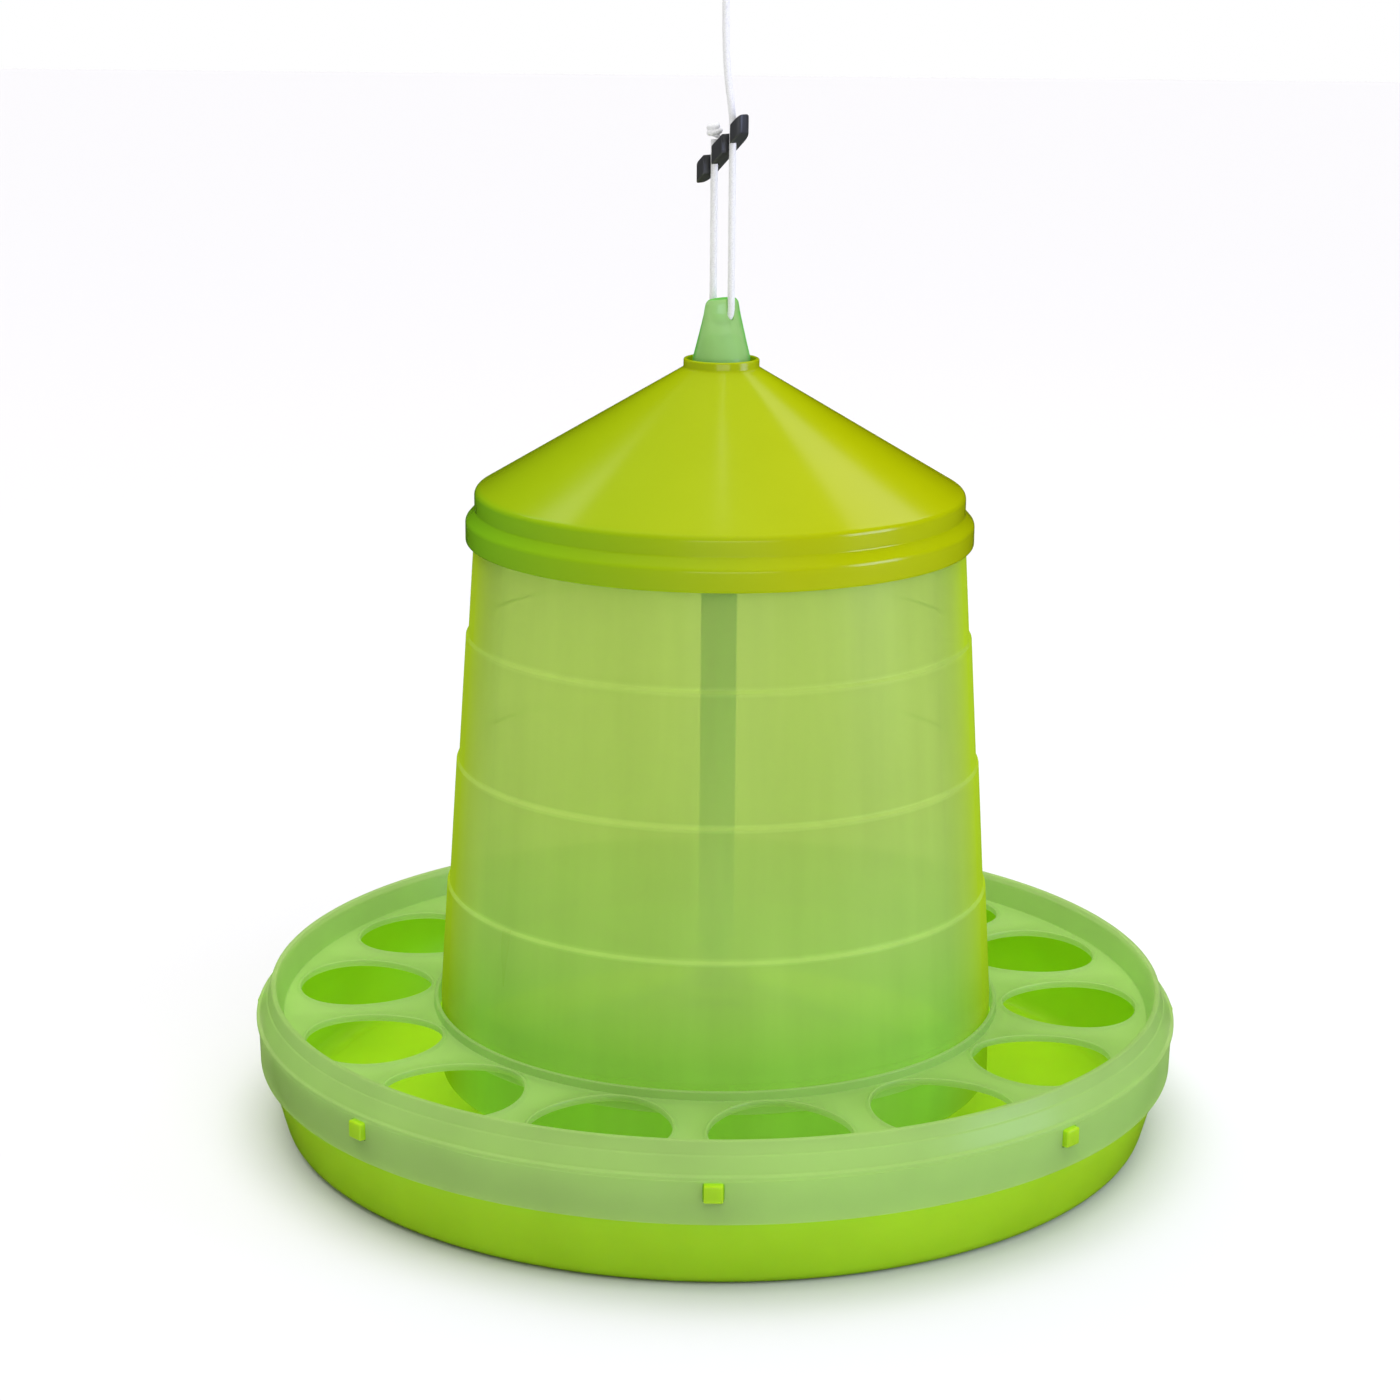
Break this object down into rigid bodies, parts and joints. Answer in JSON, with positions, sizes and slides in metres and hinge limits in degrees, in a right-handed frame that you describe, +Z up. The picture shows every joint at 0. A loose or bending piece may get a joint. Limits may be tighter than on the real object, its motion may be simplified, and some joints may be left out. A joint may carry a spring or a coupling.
{
  "type": "poultry feeder",
  "caption": "Hanging gravity feeder for poultry: a round dish with a grill of feeding holes, a see-through stepped hopper, a conical lid and an adjustable cord.",
  "frame": {"origin": "on the floor under the middle of the dish", "axes": "+Z up along the rod and the cord, -Y towards the side of the dish where a lug is in the middle"},
  "size_m": [0.3956, 0.3956, 0.5153],
  "materials": {
    "dish": "glossy moulded lime",
    "grill": "milky see-through green",
    "hopper": "clear pale green",
    "rod": "see-through green",
    "lid": "glossy yellow-lime",
    "cord": "braided white cord",
    "adjuster": "black"
  },
  "bodies": {
    "base": {"dish": "dish", "grill_ring": "grill"},
    "hanger": {"hanger_rod": "rod", "cord": "cord", "stopper_knot": "cord", "top_knot": "cord", "cord_loop": "cord"},
    "clip": {"flow_clip": "dish"},
    "funnel": {"hopper": "hopper", "hopper_spider": "hopper"},
    "cover": {"lid": "lid"},
    "adjuster": {"cord_adjuster": "adjuster"}
  },
  "joints": [
    {"name": "rod_turn", "type": "hinge", "parent": "base", "child": "hanger", "pos_m": [0, 0, 0.043], "axis": [0, 0, 1], "range_deg": [0, 90]},
    {"name": "clip_pull", "type": "slide", "parent": "hanger", "child": "clip", "axis": [0, -1, 0], "range_m": [0, 0.024]},
    {"name": "hopper_height", "type": "slide", "parent": "hanger", "child": "funnel", "axis": [0, 0, 1], "range_m": [0, 0.02]},
    {"name": "lid_lift", "type": "slide", "parent": "funnel", "child": "cover", "axis": [0, 0, 1], "range_m": [0, 0.07]},
    {"name": "adjuster_slide", "type": "slide", "parent": "hanger", "child": "adjuster", "axis": [0, 0, 1], "range_m": [-0.036, 0]}
  ]
}
